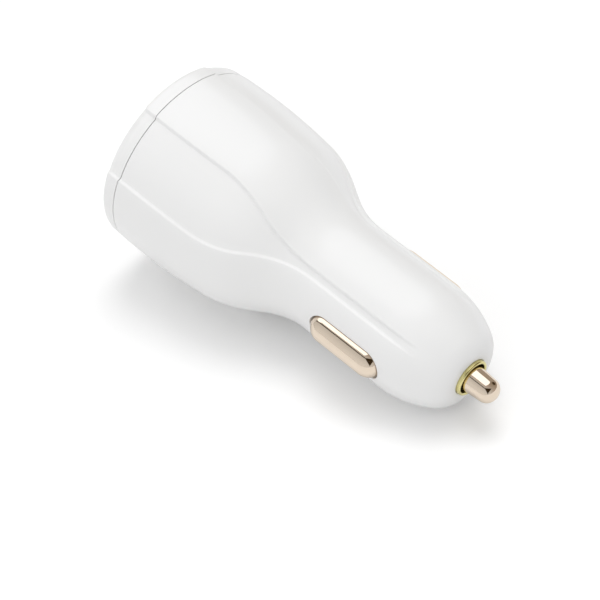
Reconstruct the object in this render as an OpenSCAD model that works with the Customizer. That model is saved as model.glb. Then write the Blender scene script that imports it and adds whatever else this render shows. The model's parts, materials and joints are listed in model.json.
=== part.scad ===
// Charger plug with two USB sockets for a car's 12 V socket, lying on its side as it comes to rest.
// Sizes are millimetres and degrees. Every piece is drawn about the plug's own axis, with the face that
// holds the sockets at x = 0 and the tip pointing along +X, and lying() then lays it down nose first.

/* [Head] */
// Largest radius of the head
head_r = 17.25; // [16:0.05:18.5]
// Distance from the face to the widest place of the head
head_x = 8; // [6:0.5:10]
// Radius of the slow curve along the head
head_bow_r = 120; // [100:5:160]
// Radius of the rounded rim round the face
rim_r = 1.5; // [1:0.1:2]
// Distance from the face to the start of the shoulder
shoulder_x = 21.5; // [20:0.5:23]
// Radius of the shoulder
shoulder_r = 20.5; // [18:0.5:22]
// Steepest slope between shoulder and neck
neck_slope = 30; // [28:0.5:32]
// Radius of the hollow curve of the neck
neck_r = 16; // [14:0.5:18]

/* [Barrel and nose] */
// Radius of the barrel that goes into the car's socket
barrel_r = 10.25; // [10:0.05:10.4]
// Length from the face to the flat of the nose
body_len = 68; // [67.5:0.25:70]
// Length of the nose, from the end of the barrel to its flat
nose_len = 11.5; // [11:0.25:12.5]
// Radius of the nose curve
nose_r = 18; // [17:0.25:19]
// Radius of the corner round the flat of the nose
tip_r = 4.5; // [4:0.1:5]

/* [Flutes] */
// How far a flute is sunk below the lands
flute_depth = 0.45; // [0.3:0.05:0.6]
// Half width of a flute on the head
flute_w = 6.4; // [5.5:0.1:7]
// Half width of a groove on the barrel
groove_w = 1; // [0.8:0.05:1.2]
// Where a flute starts to narrow
flute_x0 = 19; // [17:0.5:21]
// Where it has become a groove
flute_x1 = 39.5; // [38:0.5:41]
// Distance from the centre of the groove's round end to the flat of the nose
groove_back = 6.5; // [6:0.5:9]

/* [Moulding] */
// Wall of the shell
wall = 1.8; // [1.6:0.05:2]
// Wall across the nose
nose_wall = 2.5; // [2.2:0.1:3]
// Distance from the face to the seam between cap and shell
seam_x = 3.2; // [2.8:0.1:3.6]
// Width of the seam line
seam_gap = 0.15; // [0.1:0.05:0.2]
// Wall of the cap behind the face
face_t = 2; // [1.6:0.1:2.2]
// Length of the cap's spigot inside the shell
spigot_len = 3; // [2:0.25:4]
// Wall of the spigot
spigot_t = 1.4; // [1:0.1:1.6]
// Clearance between pieces that are pushed together
fit_gap = 0.05; // [0.02:0.01:0.08]
// Clearance round the pin's shoulder in its guide
slide_gap = 0.3; // [0.25:0.05:0.4]
// Clearance round a side contact in its slot
slot_gap = 0.15; // [0.1:0.05:0.3]

/* [USB sockets] */
// Width of a socket's metal shell
usb_w = 13.1; // [12.8:0.05:13.3]
// Height of a socket's metal shell
usb_h = 5.8; // [5.7:0.05:6]
// Depth of a socket's metal shell
usb_len = 14; // [13:0.25:15]
// Sheet thickness of the metal shell
usb_t = 0.3; // [0.25:0.05:0.35]
// How far the mouth of the metal shell lies behind the face
usb_mouth = 0.4; // [0.2:0.1:0.8]
// Clearance round a socket in its window
window_gap = 0.15; // [0.1:0.05:0.25]
// Width of the tongue
tongue_w = 11.1; // [10.8:0.1:11.3]
// Thickness of the tongue
tongue_t = 1.84; // [1.7:0.02:1.95]
// Gap between the tongue and the wall behind it
tongue_gap = 0.72; // [0.6:0.02:0.85]
// Distance from the mouth to the tongue
tongue_in = 2.5; // [2:0.1:3]
// Length of the moulded block at the back of a socket
block_len = 4; // [3.5:0.1:5]
// Width of a contact strip
strip_w = 1; // [0.8:0.05:1.2]
// Thickness of a contact strip
strip_t = 0.2; // [0.15:0.05:0.25]
// Distance from the middle to the inner strips
strip_near = 1; // [0.9:0.05:1.1]
// Distance from the middle to the outer strips
strip_far = 3.5; // [3.3:0.05:3.7]
// Length of a strip's foot on the board
foot_len = 1.2; // [1:0.1:1.4]
// Length of a spring tab in the shell's roof
tab_len = 5; // [4:0.25:6]
// Width of a spring tab with its slit
tab_w = 2; // [1.8:0.1:2.4]
// Width of the slit round a tab
tab_slit = 0.4; // [0.3:0.05:0.5]

/* [Circuit board] */
// Thickness of the board
board_t = 1.6; // [1.4:0.1:1.8]
// Distance from the face to the board's front edge
board_x0 = 3; // [2.6:0.1:4]
// Distance from the board's end to the flat of the nose
board_back = 14; // [13.5:0.5:15]
// Width of the board in the head
board_w = 23; // [22:0.5:24]
// Width of the board in the barrel
tail_w = 8.8; // [8:0.2:9.6]
// Where the wide part of the board ends
board_taper_x0 = 24; // [22:0.5:25]
// Where the narrow part of the board starts
board_taper_x1 = 33; // [31:0.5:35]
// Where the rails that hold the board start
rail_x0 = 7.5; // [7:0.25:9]
// Where the rails end
rail_x1 = 19; // [16:0.5:20]
// Thickness of a rail
rail_t = 1.2; // [1:0.1:1.5]
// How far a rail reaches over the board
rail_grip = 0.9; // [0.6:0.1:1.2]

/* [Side contacts] */
// Length of a contact bar
contact_len = 14.8; // [14:0.1:15]
// Width of a contact bar
contact_w = 5.5; // [5.2:0.1:5.7]
// Distance from the middle of the bar to the flat of the nose
contact_back = 18.2; // [18.1:0.1:18.6]
// How far the bar stands out of the barrel
contact_out = 1.65; // [1.4:0.05:1.8]
// Rim of the flange round the bar
flange_rim = 0.8; // [0.6:0.1:1]
// Thickness of the flange
flange_t = 0.8; // [0.6:0.1:1]
// Thickness of the leaf spring
leaf_t = 0.3; // [0.2:0.05:0.35]
// Width of the leaf spring
leaf_w = 3.4; // [3:0.1:4]
// Length of the leaf spring
leaf_len = 12.5; // [11:0.5:13.5]

/* [Tip] */
// Radius of the pin in the ring
pin_r = 2.4; // [2.2:0.05:2.5]
// Radius of the pin where its rounded end starts
pin_end_r = 2.15; // [2:0.05:2.2]
// How far the pin stands out of the nose
pin_out = 5.6; // [5:0.1:6.2]
// Radius of the pin's rounded end
pin_edge = 1.9; // [1.4:0.1:1.9]
// Radius of the pin's shoulder
collar_r = 3.9; // [3.7:0.05:4]
// Thickness of the pin's shoulder
collar_t = 1.2; // [1:0.1:1.4]
// Radius of the pin's tail inside the spring
tail_r = 1.25; // [1:0.05:1.4]
// Length of the pin's tail
tail_len = 2.6; // [2:0.1:2.8]
// Outer radius of the ring in the nose
ring_r = 3.3; // [3.2:0.05:3.4]
// Gap between the ring and the pin
ring_gap = 0.4; // [0.3:0.05:0.45]
// How far the ring stands out of the nose
ring_out = 0.65; // [0.4:0.05:0.8]
// Thickness of the ring's flange inside
ring_flange_t = 0.8; // [0.6:0.1:1]
// Wall of the guide tube behind the nose
guide_t = 1; // [0.8:0.1:1.2]
// Length of the guide tube behind the nose
guide_len = 7.5; // [6.5:0.25:8.5]
// Thickness of the spring seat's disc
seat_t = 0.8; // [0.6:0.1:1]
// Length of the seat's two legs on the board
seat_leg = 3; // [2:0.25:4]
// Width of a leg
seat_leg_w = 3; // [2:0.25:4]
// Thickness of a leg
seat_leg_t = 0.4; // [0.3:0.05:0.5]
// Length of the peg that centres the spring
peg_len = 1; // [0.6:0.1:1.1]
// Radius of the spring's wire
wire_r = 0.25; // [0.2:0.05:0.3]
// Turns of the spring
spring_turns = 7; // [6:1:8]

/* [Parts on the board] */
// Radius of the inductor's ferrite drum
drum_r = 4; // [3.5:0.1:4.2]
// Height of the drum
drum_h = 5; // [4:0.25:6]
// Thickness of the drum's flanges
drum_flange = 0.9; // [0.7:0.1:1.1]
// Radius of the drum's waist
drum_waist = 2; // [1.6:0.1:2.2]
// Radius of the inductor's wire
coil_wire_r = 0.26; // [0.2:0.02:0.3]
// Radius of the capacitor cans
can_r = 3.15; // [2.5:0.05:3.25]
// Height of the capacitor cans
can_h = 7; // [6:0.25:7.5]
// Height of a can's moulded base
can_base = 1.4; // [1:0.1:1.8]
// Radius of the crimp above a can's base
can_crimp = 0.3; // [0.2:0.05:0.4]
// Radius of a can's upper edge
can_edge = 0.6; // [0.4:0.1:0.8]
// Length of the control chip
control_len = 4.9; // [4.7:0.1:5.1]
// Width of the control chip
control_w = 3.9; // [3.7:0.1:4.1]
// Height of the control chip
control_h = 1.5; // [1.3:0.1:1.7]
// Legs along each side of the control chip
control_legs = 4; // [3:1:4]
// Pitch of the control chip's legs
control_pitch = 1.27; // [1.2:0.01:1.3]
// Length of the port chip
port_len = 2.9; // [2.7:0.1:3.1]
// Width of the port chip
port_w = 1.6; // [1.5:0.1:1.8]
// Height of the port chip
port_h = 1.1; // [1:0.1:1.3]
// Legs along each side of the port chip
port_legs = 3; // [2:1:3]
// Pitch of the port chip's legs
port_pitch = 0.95; // [0.9:0.05:1]
// How far a chip's leg reaches out
leg_out = 1; // [0.8:0.1:1.2]
// Thickness of a leg
leg_t = 0.2; // [0.15:0.05:0.25]
// Gap between a chip's body and the board
chip_lift = 0.1; // [0.05:0.05:0.15]
// Length of the rectifier diode
diode_len = 4.3; // [4:0.1:4.6]
// Width of the rectifier diode
diode_w = 2.6; // [2.4:0.1:2.8]
// Height of the rectifier diode
diode_h = 2.2; // [2:0.1:2.4]
// Length of the chip fuse
fuse_len = 3.2; // [3:0.1:3.4]
// Width of the chip fuse
fuse_w = 1.6; // [1.5:0.1:1.8]
// Height of the chip fuse
fuse_h = 0.8; // [0.6:0.1:1]
// Length of a resistor
res_len = 1.6; // [1.5:0.05:1.6]
// Width of a resistor
res_w = 0.8; // [0.7:0.05:0.85]
// Height of a resistor
res_h = 0.45; // [0.35:0.05:0.55]
// Distance between the resistors beside the sockets
res_pitch = 1.6; // [1.4:0.1:1.8]
// Resistors in the row along the narrow part of the board
tail_parts = 4; // [2:1:4]
// Gap between neighbours on the board
part_gap = 0.5; // [0.4:0.1:0.6]

/* [Hidden] */
$fn = 96;
// Overrun of a cut past the solid that it cuts
over = 1;
// Room that holds the whole section of the plug
reach = 2 * head_r;
// Widest step along a drawn arc in degrees, and the widest chord in millimetres
arc_step = 8;
arc_chord = 7;

// Where the pieces at the tip's end lie, counted from the face
nose_x = body_len - nose_len;
groove_end = body_len - groove_back;
board_x1 = body_len - board_back;
contact_x = body_len - contact_back;

// The outside is a chain of tangent arcs. A centre or a point on it is [radius from the axis, x].
bow_end_angle = asin((shoulder_x - head_x) / head_bow_r);
head_c = [head_r - head_bow_r, head_x];
shoulder_c = head_c + (head_bow_r - shoulder_r) * [cos(bow_end_angle), sin(bow_end_angle)];
flank_way = [cos(neck_slope), sin(neck_slope)];
flank_top = shoulder_c + shoulder_r * flank_way;
flank_run = (flank_top[0] - barrel_r - neck_r * (1 - cos(neck_slope))) / tan(neck_slope);
neck_c = [barrel_r + neck_r, flank_top[1] + flank_run + neck_r * sin(neck_slope)];
nose_c = [barrel_r - nose_r, nose_x];
tip_dx = body_len - tip_r - nose_x;
tip_c = nose_c + [sqrt(pow(nose_r - tip_r, 2) - pow(tip_dx, 2)), tip_dx];
nose_angle = asin(tip_dx / (nose_r - tip_r));
rim_c = [head_c[0] + sqrt(pow(head_bow_r - rim_r, 2) - pow(rim_r - head_x, 2)), rim_r];
rim_angle = asin((rim_r - head_x) / (head_bow_r - rim_r));

// Radius inside the shell at a place x along the barrel or the nose curve
function nose_bore(x) =
  x <= nose_x ? barrel_r - wall : nose_c[0] + sqrt(pow(nose_r - wall, 2) - pow(x - nose_x, 2));
// Radius inside the shell at a place x along the head
function head_bore(x) = head_c[0] + sqrt(pow(head_bow_r - wall, 2) - pow(x - head_x, 2));

// The plug rests on its shoulder and its nose curve: the slope of the line that touches both arcs
rest_v = nose_c - shoulder_c;
rest_tilt = asin((shoulder_r - nose_r) / norm(rest_v)) - atan2(rest_v[0], rest_v[1]);
rest_way = [cos(rest_tilt), sin(rest_tilt)];
rest_height = nose_c * rest_way + nose_r;
pin_end = body_len + pin_out;
low_x = rim_r * cos(rest_tilt) - rim_c[0] * sin(rest_tilt) - rim_r;
high_x = (pin_end - pin_edge) * cos(rest_tilt) + (pin_end_r - pin_edge) * sin(rest_tilt) + pin_edge;
rest_shift = -(low_x + high_x) / 2;

board_top = board_t / 2;
usb_z = board_top + usb_h / 2;
usb_back = usb_mouth + usb_len;
tongue_z = usb_h / 2 - usb_t - tongue_gap - tongue_t;
spigot_r = head_bore(seam_x) - fit_gap;
nose_floor = body_len - nose_wall;
guide_r = collar_r + slide_gap;
guide_x = nose_floor - guide_len;
ring_face = nose_floor - ring_flange_t;
collar_back = ring_face - collar_t;
seat_face = board_x1 + seat_t;
spring_r = (collar_r + tail_r) / 2;
flange_w = contact_w + 2 * flange_rim;
flange_len = contact_len + 2 * flange_rim;
flange_top = sqrt(pow(nose_bore(contact_x + flange_len / 2 - flange_w / 2), 2) - pow(flange_w / 2, 2)) - fit_gap;
flange_foot = flange_top - flange_t;
contact_top = barrel_r + contact_out;
dome_c = [pin_end_r - pin_edge, pin_end - pin_edge];
dome_way = [pin_r, body_len] - dome_c;
dome_start = atan2(dome_way[1], dome_way[0]) + acos(pin_edge / norm(dome_way));

// Lays the plug down, nose first, with the middle of its shadow at the origin
module lying() {
  translate([rest_shift, 0, rest_height]) rotate([0, rest_tilt, 0]) children();
}

// Turns a half section, drawn as radius and x, round the plug's axis
module turned() {
  rotate([0, 90, 0]) rotate_extrude() children();
}

// Carries an outline drawn as y and z from x0 to x1
module lengthwise(x0, x1) {
  translate([x0, 0, 0]) rotate([90, 0, 90]) linear_extrude(x1 - x0) children();
}

// Points along an arc round c, where angle 0 points away from the axis and 90 towards the tip
function arc(c, r, a0, a1) =
  let (steps = max(1, ceil(abs(a1 - a0) / arc_step), ceil(r * abs(a1 - a0) * PI / 180 / arc_chord)))
  [for (i = [0:steps]) let (a = a0 + (a1 - a0) * i / steps) c + r * [cos(a), sin(a)]];

// Half section of the whole form, moved inwards by inset
module half_form(inset) {
  rim = inset < rim_r ? arc(rim_c, rim_r - inset, -90, rim_angle) : [];
  polygon(concat(
    [[0, min(inset, rim_r)]],
    rim,
    arc(head_c, head_bow_r - inset, rim_angle, bow_end_angle),
    arc(shoulder_c, shoulder_r - inset, bow_end_angle, neck_slope),
    arc(neck_c, neck_r + inset, 180 + neck_slope, 180),
    arc(nose_c, nose_r - inset, 0, nose_angle),
    arc(tip_c, tip_r - inset, nose_angle, 90),
    [[0, body_len - inset]]));
}

// Outline of one flute, seen square on: x along the plug, y across it
module flute_outline() {
  step = flute_w - groove_w;
  run = flute_x1 - flute_x0;
  bend_r = (run * run + step * step) / (4 * step);
  swing = asin(run / (2 * bend_r));
  edge = concat([[-over, flute_w]],
    arc([flute_x0, flute_w - bend_r], bend_r, 90, 90 - swing),
    arc([flute_x1, groove_w + bend_r], bend_r, 270 - swing, 270),
    arc([groove_end, 0], groove_w, 90, 0));
  other = [for (i = [len(edge) - 2:-1:0]) [edge[i][0], -edge[i][1]]];
  polygon(concat(edge, other));
}

// What the four flutes take off the outside
module flutes() {
  difference() {
    for (turn = [45:90:315]) rotate([turn, 0, 0]) translate([0, 0, barrel_r / 2])
      linear_extrude(head_r) flute_outline();
    turned() half_form(flute_depth);
    turned() translate([0, -2 * over]) square([rim_c[0], rim_r + 2 * over]);
  }
}

// The solid outer form, cap and shell together
module outer_form() {
  difference() {
    turned() half_form(0);
    flutes();
  }
}

// A slot or bar outline with round ends, along x
module stadium(length, width) {
  square([length - width, width], center = true);
  for (end = [-1, 1]) translate([end * (length - width) / 2, 0]) circle(width / 2);
}

// A rectangle with rounded corners
module rounded(w, h, r) {
  square([w - 2 * r, h], center = true);
  square([w, h - 2 * r], center = true);
  for (x = [-1, 1], y = [-1, 1]) translate([x * (w / 2 - r), y * (h / 2 - r)]) circle(r);
}

// Turns what stands up (+Z) so that it points out of the plug's left (-1) or right (+1) side
module sideways(side) {
  rotate([-side * 90, 0, 0]) children();
}

// Turns what stands on the board's upper side (1) to its lower side (-1)
module board_side(side) {
  rotate([side > 0 ? 0 : 180, 0, 0]) children();
}

// Rails inside the shell that hold both edges of the board
module rails() {
  for (side = [-1, 1], level = [-1, 1])
    intersection() {
      turned() half_form(wall / 2);
      translate([rail_x0, side > 0 ? board_w / 2 - rail_grip : -reach,
          level > 0 ? board_top + fit_gap : -board_top - fit_gap - rail_t])
        cube([rail_x1 - rail_x0, reach - board_w / 2 + rail_grip, rail_t]);
    }
}

module body_shell() color("#f3f3f1") lying() {
  difference() {
    union() {
      difference() {
        outer_form();
        translate([-over, -reach, -reach]) cube([seam_x + seam_gap + over, 2 * reach, 2 * reach]);
        intersection() {
          turned() half_form(wall);
          translate([0, -reach, -reach]) cube([nose_floor, 2 * reach, 2 * reach]);
        }
        turned() translate([0, guide_x]) square([guide_r, guide_len]);
      }
      rails();
      intersection() {
        turned() translate([guide_r, guide_x]) square([guide_t, nose_floor - guide_x + over]);
        turned() half_form(wall / 2);
      }
    }
    for (side = [-1, 1]) sideways(side) translate([contact_x, 0, flange_foot])
      linear_extrude(reach) stadium(contact_len + 2 * slot_gap, contact_w + 2 * slot_gap);
    turned() translate([0, nose_floor - over]) square([ring_r + fit_gap, nose_wall + 2 * over]);
  }
}

module face_cap() color("#f1f1ef") lying() {
  difference() {
    union() {
      intersection() {
        outer_form();
        translate([-over, -reach, -reach]) cube([seam_x + over, 2 * reach, 2 * reach]);
      }
      turned() translate([0, face_t]) square([spigot_r, seam_x + spigot_len - face_t]);
    }
    turned() translate([0, face_t]) square([spigot_r - spigot_t, seam_x + spigot_len]);
    for (side = [-1, 1]) lengthwise(-over, face_t + over) translate([0, side * usb_z])
      rounded(usb_w + 2 * window_gap, usb_h + 2 * window_gap, usb_t + window_gap);
  }
}

// Brass eyelet: a tube through the nose with a flange inside
module tip_ring() color("#c9b763") lying() turned() {
  bore_r = pin_r + ring_gap;
  translate([bore_r, ring_face]) square([ring_r - bore_r, body_len + ring_out - ring_face]);
  translate([bore_r, ring_face]) square([guide_r - fit_gap - bore_r, ring_flange_t]);
}

// Tip contact: tail, shoulder and shank turned from one bar, slightly tapered towards its round end
module tip_pin() color("#d8c2a0") lying() turned()
  polygon(concat(
    [[0, collar_back - tail_len], [tail_r, collar_back - tail_len], [tail_r, collar_back]],
    [[collar_r, collar_back], [collar_r, ring_face], [pin_r, ring_face], [pin_r, body_len]],
    arc(dome_c, pin_edge, dome_start, 90),
    [[0, pin_end]]));

// Height of the coil spring's wire after a number of turns: one closed turn at each end
function coil_rise(u, turns, length) =
  let (d = 2 * wire_r, open = (length - 3 * d) / (turns - 2))
  u < 1 ? wire_r + d * u
  : u > turns - 1 ? length - wire_r - d * (turns - u)
  : wire_r + d + open * (u - 1);

// Round wire wound into a compression spring that stands on the plane x = 0
module coil_spring(coil_r, turns, length) {
  steps = 18;
  sides = 8;
  last = turns * steps;
  points = [for (i = [0:last], k = [0:sides - 1])
    let (a = 360 * i / steps, b = 360 * k / sides, r = coil_r + wire_r * cos(b))
    [coil_rise(i / steps, turns, length) + wire_r * sin(b), r * cos(a), r * sin(a)]];
  skin = [for (i = [0:last - 1], k = [0:sides - 1])
    let (n = (k + 1) % sides)
    [i * sides + k, i * sides + n, (i + 1) * sides + n, (i + 1) * sides + k]];
  ends = [[for (k = [sides - 1:-1:0]) k], [for (k = [0:sides - 1]) last * sides + k]];
  polyhedron(points, concat(skin, ends));
}

module tip_spring() color("#b9bcc0") lying()
  translate([seat_face, 0, 0]) coil_spring(spring_r, spring_turns, collar_back - seat_face);

// Half section of a contact bar, across it: half width and height, with a half round top
module bar_section() {
  polygon(concat([[0, flange_foot], [contact_w / 2, flange_foot]],
    arc([0, contact_top - contact_w / 2], contact_w / 2, 0, 90)));
}

// Contact bar with round ends and a flange that keeps it in its slot
module contact_bar() {
  straight = contact_len - contact_w;
  for (end = [-1, 1]) translate([contact_x + end * straight / 2, 0, 0]) rotate_extrude() bar_section();
  for (half = [0, 1]) mirror([0, half, 0])
    lengthwise(contact_x - straight / 2, contact_x + straight / 2) bar_section();
  translate([contact_x, 0, flange_foot]) linear_extrude(flange_t) stadium(flange_len, flange_w);
}

// Bent strip between the board's edge and the contact's flange
module leaf_spring() {
  rise = flange_foot - tail_w / 2;
  bend_r = (leaf_len * leaf_len / 4 + rise * rise) / (2 * rise);
  translate([contact_x, leaf_w / 2, 0]) rotate([90, 0, 0]) linear_extrude(leaf_w)
    intersection() {
      difference() {
        translate([0, tail_w / 2 + bend_r]) circle(bend_r);
        translate([0, tail_w / 2 + bend_r]) circle(bend_r - leaf_t);
      }
      translate([-leaf_len / 2, 0]) square([leaf_len, flange_foot]);
    }
}

module side_contact_left() color("#d8c2a0") lying() sideways(-1) contact_bar();

module side_contact_right() color("#d8c2a0") lying() sideways(1) contact_bar();

module leaf_spring_left() color("#c8a24a") lying() sideways(-1) leaf_spring();

module leaf_spring_right() color("#c8a24a") lying() sideways(1) leaf_spring();

// Brass disc with a peg for the spring and two legs that clasp the board's end
module spring_seat() color("#c9a54e") lying() {
  turned() translate([0, board_x1]) square([spring_r + wire_r, seat_t]);
  turned() translate([0, seat_face]) square([tail_r, peg_len]);
  for (side = [-1, 1]) board_side(side) translate([board_x1 - seat_leg, -seat_leg_w / 2, board_top])
    cube([seat_leg + seat_t, seat_leg_w, seat_leg_t]);
}

module circuit_board() color("#1f6b45") lying()
  translate([0, 0, -board_top]) linear_extrude(board_t)
    polygon([[board_x0, -board_w / 2], [board_taper_x0, -board_w / 2], [board_taper_x1, -tail_w / 2],
        [board_x1, -tail_w / 2], [board_x1, tail_w / 2], [board_taper_x1, tail_w / 2],
        [board_taper_x0, board_w / 2], [board_x0, board_w / 2]]);

// Folded metal shell of a USB socket that stands on the board, with two spring tabs in its roof
module usb_shell() {
  tab_x = usb_mouth + tongue_in;
  difference() {
    translate([0, 0, usb_z]) lengthwise(usb_mouth, usb_back) rounded(usb_w, usb_h, 2 * usb_t);
    translate([0, 0, usb_z]) lengthwise(usb_mouth - over, usb_back + over)
      rounded(usb_w - 2 * usb_t, usb_h - 2 * usb_t, usb_t);
    for (side = [-1, 1]) translate([tab_x, side * usb_w / 4 - tab_w / 2, usb_z])
      difference() {
        cube([tab_len, tab_w, usb_h]);
        translate([tab_slit, tab_slit, -over]) cube([tab_len, tab_w - 2 * tab_slit, usb_h + 2 * over]);
      }
  }
}

// Where the four contact strips of a socket lie
strips_y = [-strip_far, -strip_near, strip_near, strip_far];
strip_z = usb_z + tongue_z - strip_t;
strip_back = usb_back + 2 * strip_t;

// Contact strips under the tongue, each bent down to a foot on the board, grown by room for a channel
module usb_strips(room) {
  for (y = strips_y) {
    translate([usb_mouth + tongue_in + strip_w, y - strip_w / 2 - room, strip_z - room])
      cube([strip_back - usb_mouth - tongue_in - strip_w, strip_w + 2 * room, strip_t + room]);
    translate([strip_back - strip_t, y - strip_w / 2 - room, board_top])
      cube([strip_t, strip_w + 2 * room, strip_z + strip_t - board_top]);
    translate([strip_back - strip_t, y - strip_w / 2 - room, board_top])
      cube([foot_len, strip_w + 2 * room, strip_t]);
  }
}

// Moulded block that closes the back of a socket, with the tongue
module usb_tongue() {
  difference() {
    union() {
      translate([0, 0, usb_z]) lengthwise(usb_back - block_len, usb_back)
        rounded(usb_w - 2 * usb_t - 2 * fit_gap, usb_h - 2 * usb_t - 2 * fit_gap, usb_t);
      translate([usb_mouth + tongue_in, -tongue_w / 2, usb_z + tongue_z])
        cube([usb_len - tongue_in - block_len + over, tongue_w, tongue_t]);
    }
    usb_strips(fit_gap);
  }
}

module usb_shell_upper() color("#c4c7ca") lying() board_side(1) usb_shell();

module usb_shell_lower() color("#c4c7ca") lying() board_side(-1) usb_shell();

module usb_tongue_upper() color("#26272a") lying() board_side(1) usb_tongue();

module usb_tongue_lower() color("#26272a") lying() board_side(-1) usb_tongue();

module usb_contacts_upper() color("#d9b45a") lying() board_side(1) usb_strips(0);

module usb_contacts_lower() color("#d9b45a") lying() board_side(-1) usb_strips(0);

// Places on the board: distance from the face, distance from the middle
res_x = strip_back - strip_t + foot_len + part_gap + res_len / 2;
row_x = res_x + res_len / 2 + part_gap;
can_in_at = [row_x + can_r, can_r + part_gap];
can_out_at = [row_x + can_r, -can_r - part_gap];
drum_at = [row_x + 2 * (can_r + part_gap) + drum_r, 0];
control_at = [row_x + control_len / 2, control_w / 2 + leg_out + 2 * part_gap];
port_at = [row_x + port_len / 2, -port_w / 2 - leg_out - 2 * part_gap];
diode_at = [control_at[0] + control_len / 2 + 2 * part_gap + diode_len / 2, 0];
fuse_at = [board_x1 - seat_leg - part_gap - fuse_len / 2, 0];
tail_run = board_x1 - seat_leg - board_taper_x1;

// Stands a part on the board at a place
module on_board(at) {
  translate([at[0], at[1], board_top]) children();
}

module inductor_core() color("#3a3b3f") lying() board_side(-1) on_board(drum_at) rotate_extrude() {
  square([drum_r, drum_flange]);
  square([drum_waist, drum_h]);
  translate([0, drum_h - drum_flange]) square([drum_r, drum_flange]);
}

// Copper wire in layers round the waist of the drum
module inductor_winding() color("#b4622d") lying() board_side(-1) on_board(drum_at) rotate_extrude() {
  room = drum_h - 2 * drum_flange - 2 * fit_gap;
  rows = floor(room / (2 * coil_wire_r));
  pitch = room / rows;
  inner = drum_waist + fit_gap;
  outer = drum_r - 2 * coil_wire_r;
  translate([inner, drum_flange + fit_gap]) square([outer - inner, room]);
  for (row = [0:rows - 1])
    translate([outer, drum_flange + fit_gap + pitch * (row + 0.5)]) circle(pitch / 2);
}

// Electrolytic can on a square moulded base, with the crimp above the base and a rounded top
module can() {
  translate([-can_r, -can_r, 0]) cube([2 * can_r, 2 * can_r, can_base / 2]);
  rotate_extrude() difference() {
    union() {
      square([can_r, can_h - can_edge]);
      square([can_r - can_edge, can_h]);
      translate([can_r - can_edge, can_h - can_edge]) circle(can_edge);
    }
    translate([can_r, can_base]) circle(can_crimp);
  }
}

module input_capacitor() color("#b8bcc2") lying() board_side(-1) on_board(can_in_at) can();

module output_capacitor() color("#b8bcc2") lying() board_side(-1) on_board(can_out_at) can();

// Moulded chip with bent legs along both long sides
module chip(length, width, height, legs, pitch) {
  leg_w = pitch / 3;
  knee = width / 2 + leg_out / 2;
  translate([-length / 2, -width / 2, chip_lift]) cube([length, width, height - chip_lift]);
  for (side = [0, 1], leg = [0:legs - 1]) mirror([0, side, 0])
    translate([(leg - (legs - 1) / 2) * pitch - leg_w / 2, 0, 0]) {
      translate([0, knee, 0]) cube([leg_w, leg_out / 2, leg_t]);
      translate([0, knee, 0]) cube([leg_w, leg_t, height / 2 + leg_t]);
      translate([0, 0, height / 2]) cube([leg_w, knee + leg_t, leg_t]);
    }
}

module control_chip() color("#2a2b2e") lying() on_board(control_at)
  chip(control_len, control_w, control_h, control_legs, control_pitch);

module port_chip() color("#2a2b2e") lying() on_board(port_at)
  chip(port_len, port_w, port_h, port_legs, port_pitch);

// Plain block that stands on the board round the middle of its foot
module block(length, width, height) {
  translate([-length / 2, -width / 2, 0]) cube([length, width, height]);
}

module rectifier_diode() color("#303135") lying() on_board(diode_at) block(diode_len, diode_w, diode_h);

module chip_fuse() color("#e4e0d2") lying() on_board(fuse_at) block(fuse_len, fuse_w, fuse_h);

// Small resistors on both sides: a group beside each socket and a row along the narrow part of the board
module chip_resistors() color("#1d1e20") lying() {
  for (level = [-1, 1], side = [-1, 1]) board_side(level) {
    for (i = [-1:1]) on_board([res_x, side * usb_w / 2 + i * res_pitch]) block(res_len, res_w, res_h);
  }
  for (level = [-1, 1], i = [0:tail_parts - 1]) board_side(level)
    on_board([board_taper_x1 + (i + 0.5) * tail_run / tail_parts, level * tail_w / 4])
      block(res_len, res_w, res_h);
}

body_shell();
face_cap();
tip_ring();
tip_pin();
tip_spring();
side_contact_left();
side_contact_right();
leaf_spring_left();
leaf_spring_right();
spring_seat();
circuit_board();
usb_shell_upper();
usb_shell_lower();
usb_tongue_upper();
usb_tongue_lower();
usb_contacts_upper();
usb_contacts_lower();
inductor_core();
inductor_winding();
input_capacitor();
output_capacitor();
control_chip();
port_chip();
rectifier_diode();
chip_fuse();
chip_resistors();
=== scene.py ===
# %% [markdown]
# # A charger plug for the car, dressed for its picture
# The plug is a pearl white moulding with a wide head, a hollow neck and a slim barrel that goes into the
# car's 12 V socket. This notebook loads its measured model, lays smooth skins over the parts that show,
# gives every part its finish, and sets up the light and the camera.
#
# The measured model comes first. The plug could be drawn afresh here, but then its places would only be
# near the right ones, so the measured parts and their moving bodies are read from the model.

# %% Load the measured model
import json
import math

import bpy
import numpy as np
from mathutils import Matrix, Vector

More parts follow.
